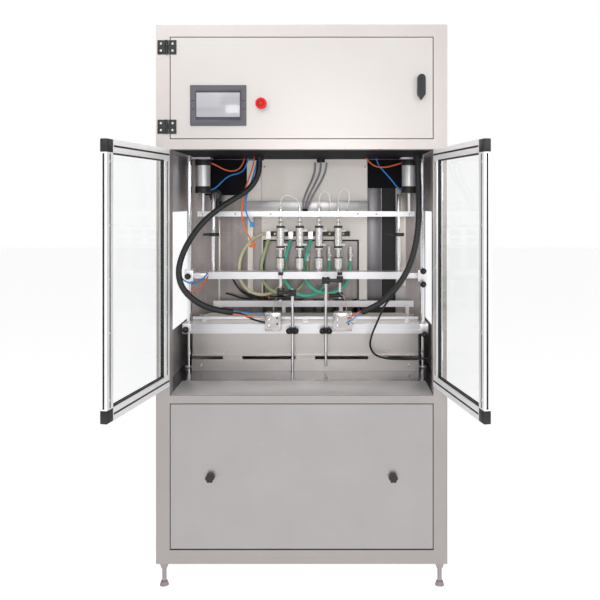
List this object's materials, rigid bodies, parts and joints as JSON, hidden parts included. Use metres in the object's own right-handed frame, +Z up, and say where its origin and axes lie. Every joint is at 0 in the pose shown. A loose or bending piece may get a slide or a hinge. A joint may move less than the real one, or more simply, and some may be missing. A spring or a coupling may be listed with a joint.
{
  "type": "piston liquid filler",
  "caption": "Floor-standing piston liquid filler with a stainless cabinet, window doors, a bottle conveyor, a lifting nozzle row and a control door.",
  "frame": {"origin": "on the floor, under the centre of the machine's box with its window doors open", "axes": "+Z up, the operator's side faces -Y, +X to the operator's right"},
  "size_m": [1.1558, 1.386, 2.03],
  "materials": {
    "stainless": "brushed",
    "frame_steel": "brushed",
    "polished": "polished",
    "aluminium": "anodised",
    "black_plastic": "matte",
    "white_plastic": "satin",
    "clear_glass": "clear",
    "hose": "translucent",
    "rubber": "matte",
    "red_plastic": "gloss",
    "belt": "matte",
    "motor_paint": "satin",
    "grey_plastic": "satin",
    "air_tube": "satin",
    "cable_grey": "matte",
    "cabinet_units": "satin"
  },
  "bodies": {
    "machine": {"main_frame": "frame_steel", "side_panels": "stainless", "rear_panels": "stainless", "cabinet_decks": "stainless", "table_top": "stainless", "pump_cover_panel": "stainless", "electrical_panel": "cabinet_units", "pneumatic_units": "cabinet_units", "cable_glands": "black_plastic", "hinge_fixed_leaves": "aluminium", "levelling_feet": "polished", "conveyor_frame": "stainless", "conveyor_guide_rails": "stainless", "conveyor_belt": "belt", "conveyor_gearmotor": "motor_paint", "lift_columns": "polished", "column_clamps": "aluminium", "cross_bars": "aluminium", "lift_guides": "polished", "lift_cylinders": "aluminium", "pump_cylinders": "polished", "valve_bodies": "polished", "product_pipework": "polished", "drive_guides": "polished", "servo_motor": "motor_paint", "stand_rods": "polished", "stand_clamps": "black_plastic", "bottle_sensors": "black_plastic", "stopper_cylinders": "aluminium", "left_conduit": "rubber", "right_conduit": "rubber", "product_hoses": "hose", "head_air_bundle": "cable_grey", "air_tubes": "air_tube"},
    "access_panel": {"access_panel": "stainless"},
    "left_panel_knob": {"left_panel_knob": "black_plastic"},
    "right_panel_knob": {"right_panel_knob": "black_plastic"},
    "control_door": {"control_door": "stainless", "control_door_fittings": "black_plastic", "touch_screen": "grey_plastic"},
    "estop_button": {"estop_button": "red_plastic"},
    "latch_handle": {"latch_handle": "black_plastic"},
    "left_window": {"left_window_frame": "aluminium", "left_window_glass": "clear_glass", "left_window_fittings": "black_plastic"},
    "right_window": {"right_window_frame": "aluminium", "right_window_glass": "clear_glass", "right_window_fittings": "black_plastic"},
    "lift_carriage": {"lift_bar": "aluminium", "head_actuators": "aluminium", "head_valves": "white_plastic", "head_air_loops": "white_plastic"},
    "pump_drive": {"pistons": "polished", "drive_plate": "aluminium"},
    "ball_screw": {"ball_screw": "polished"},
    "valve_spindle": {"valve_spindle": "polished"},
    "left_stopper_pin": {"left_stopper_pin": "polished"},
    "right_stopper_pin": {"right_stopper_pin": "polished"},
    "drive_roller": {"drive_roller": "aluminium"},
    "idler_roller": {"idler_roller": "aluminium"}
  },
  "joints": [
    {"name": "access_panel_lift_off", "type": "slide", "parent": "machine", "child": "access_panel", "axis": [0, -1, 0], "range_m": [0, 0.3]},
    {"name": "left_panel_knob_turn", "type": "hinge", "parent": "access_panel", "child": "left_panel_knob", "pos_m": [-0.329, -0.207, 0.4], "axis": [0, 1, 0], "continuous": true},
    {"name": "right_panel_knob_turn", "type": "hinge", "parent": "access_panel", "child": "right_panel_knob", "pos_m": [0.329, -0.207, 0.4], "axis": [0, 1, 0], "continuous": true},
    {"name": "control_door_hinge", "type": "hinge", "parent": "machine", "child": "control_door", "pos_m": [-0.485, -0.213, 1.8], "axis": [0, 0, -1], "range_deg": [0, 110]},
    {"name": "latch_turn", "type": "hinge", "parent": "control_door", "child": "latch_handle", "pos_m": [0.4295, -0.207, 1.833], "axis": [0, 1, 0], "range_deg": [0, 90]},
    {"name": "estop_press", "type": "slide", "parent": "control_door", "child": "estop_button", "axis": [0, 1, 0], "range_m": [0, 0.005], "stiffness_N_per_m": 800},
    {"name": "left_window_hinge", "type": "hinge", "parent": "machine", "child": "left_window", "pos_m": [-0.48, -0.221, 1.1], "axis": [0, 0, 1], "range_deg": [-9.5, 100.5]},
    {"name": "right_window_hinge", "type": "hinge", "parent": "machine", "child": "right_window", "pos_m": [0.48, -0.221, 1.1], "axis": [0, 0, -1], "range_deg": [-9.5, 100.5]},
    {"name": "head_lift", "type": "slide", "parent": "machine", "child": "lift_carriage", "axis": [0, 0, 1], "range_m": [0, 0.06], "deforming": ["head_air_bundle"]},
    {"name": "pump_stroke", "type": "slide", "parent": "machine", "child": "pump_drive", "axis": [0, 0, -1], "range_m": [0, 0.15]},
    {"name": "screw_turn", "type": "hinge", "parent": "machine", "child": "ball_screw", "pos_m": [0.05, 0.533, 0.5], "axis": [0, 0, 1], "range_deg": [-10, 2710]},
    {"name": "spindle_turn", "type": "hinge", "parent": "machine", "child": "valve_spindle", "pos_m": [0.05, 0.533, 1.17], "axis": [1, 0, 0], "range_deg": [0, 90]},
    {"name": "left_stopper_stroke", "type": "slide", "parent": "machine", "child": "left_stopper_pin", "axis": [0, 1, 0], "range_m": [0, 0.04]},
    {"name": "right_stopper_stroke", "type": "slide", "parent": "machine", "child": "right_stopper_pin", "axis": [0, 1, 0], "range_m": [0, 0.04]},
    {"name": "drive_roller_spin", "type": "hinge", "parent": "machine", "child": "drive_roller", "pos_m": [0.412, 0.289, 0.857], "axis": [0, 1, 0], "continuous": true},
    {"name": "idler_roller_spin", "type": "hinge", "parent": "machine", "child": "idler_roller", "pos_m": [-0.412, 0.289, 0.857], "axis": [0, 1, 0], "continuous": true}
  ],
  "couplings": [
    {"joint": "screw_turn", "follows": "pump_stroke", "rad_per_m": 314.16},
    {"joint": "idler_roller_spin", "follows": "drive_roller_spin", "ratio": 1}
  ]
}
